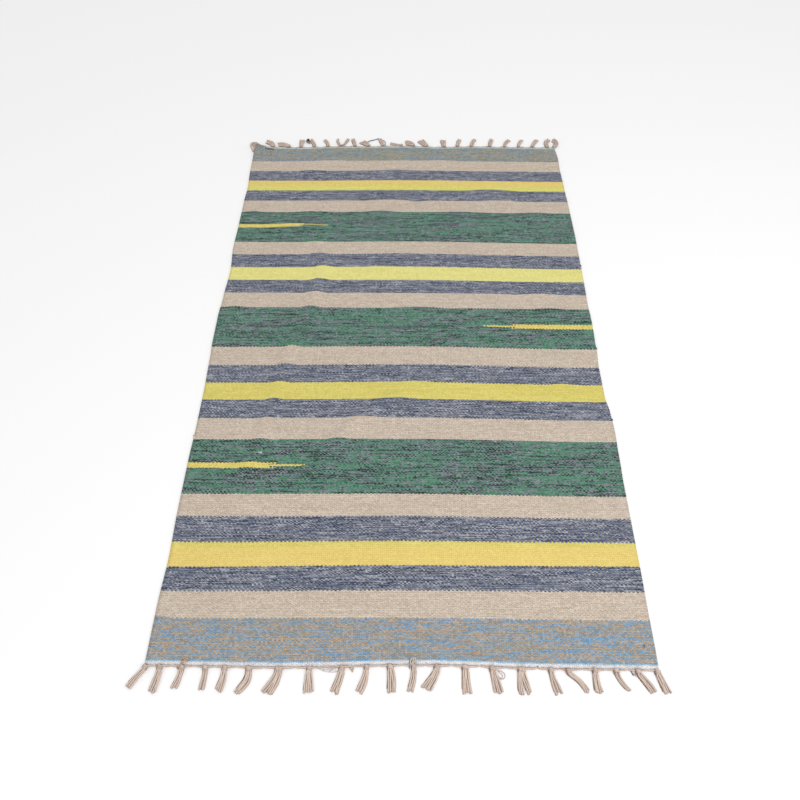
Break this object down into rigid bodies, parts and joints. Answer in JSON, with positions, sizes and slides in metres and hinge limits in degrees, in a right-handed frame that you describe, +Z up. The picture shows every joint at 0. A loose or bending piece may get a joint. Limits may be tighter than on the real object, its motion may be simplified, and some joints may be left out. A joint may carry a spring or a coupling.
{
  "type": "flat-woven kilim rug with knotted fringe",
  "caption": "Flat-woven striped cotton floor rug with low creases and a knotted fringe along both short ends.",
  "frame": {"origin": "middle of the woven field's underside, on the floor", "axes": "+X across the rug, to the right as the near end is seen from in front; +Y along the rug, away from the near end; +Z up"},
  "size_m": [0.9457, 1.6121, 0.0143],
  "materials": {
    "woven_cotton": "matte flat-woven cotton in stripes of beige, navy, yellow and green mélange yarn",
    "warp_cotton": "matte undyed plied cotton"
  },
  "bodies": {
    "root": {"field": "woven_cotton", "fringe_near": "warp_cotton", "fringe_far": "warp_cotton"}
  },
  "joints": []
}
